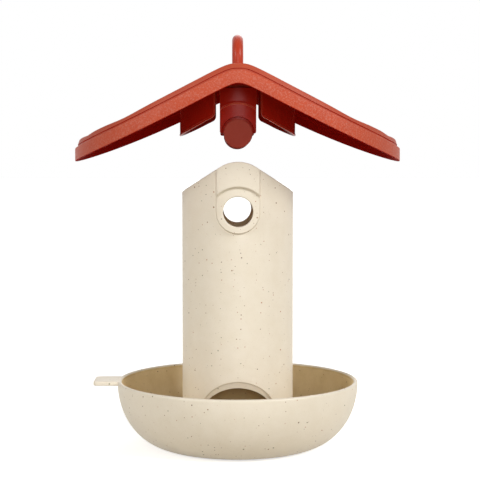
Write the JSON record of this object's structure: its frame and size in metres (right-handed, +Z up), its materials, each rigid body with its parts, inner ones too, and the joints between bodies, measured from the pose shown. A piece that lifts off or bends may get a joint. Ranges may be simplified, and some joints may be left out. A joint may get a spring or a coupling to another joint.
{
  "type": "silo bird feeder",
  "caption": "Hanging silo bird feeder: round seed tray, twist-in seed tube with feed arches, and a lift-off gabled roof held by sprung press buttons.",
  "frame": {"origin": "middle of the seed tray's flat underside, which is the bottom centre of the whole object's box", "axes": "+Z up along the tube, -Y to the front where the pictured button faces, +X to the viewer's right, and the thumb tab on -X"},
  "size_m": [0.268, 0.2, 0.3405],
  "materials": {
    "cream_composite": "moulded wood-fibre composite, cream with fine dark specks",
    "brick_plastic": "moulded, fine grained satin",
    "latch_plastic": "moulded, smooth",
    "button_plastic": "moulded, fine matt"
  },
  "bodies": {
    "tray": {"seed_tray": "cream_composite", "seed_divider": "cream_composite"},
    "silo": {"silo_tube": "cream_composite"},
    "roof": {"roof_shell": "brick_plastic", "roof_collar": "brick_plastic", "hanging_loop": "brick_plastic", "loop_pin": "button_plastic"},
    "front_snap": {"front_latch": "latch_plastic", "front_button": "button_plastic"},
    "back_snap": {"back_latch": "latch_plastic", "back_button": "button_plastic"}
  },
  "joints": [
    {"name": "silo_twist", "type": "hinge", "parent": "tray", "child": "silo", "pos_m": [0, 0, 0.0085], "axis": [0, 0, 1], "range_deg": [-30, 0]},
    {"name": "roof_lift", "type": "slide", "parent": "silo", "child": "roof", "axis": [0, 0, 1], "range_m": [-0.0623, 0.1537]},
    {"name": "front_press", "type": "hinge", "parent": "roof", "child": "front_snap", "pos_m": [0, -0.044, 0.2976], "axis": [1, 0, 0], "range_deg": [0, 8], "stiffness_Nm_per_rad": 0.6},
    {"name": "back_press", "type": "hinge", "parent": "roof", "child": "back_snap", "pos_m": [0, 0.044, 0.2976], "axis": [-1, 0, 0], "range_deg": [0, 8], "stiffness_Nm_per_rad": 0.6}
  ]
}
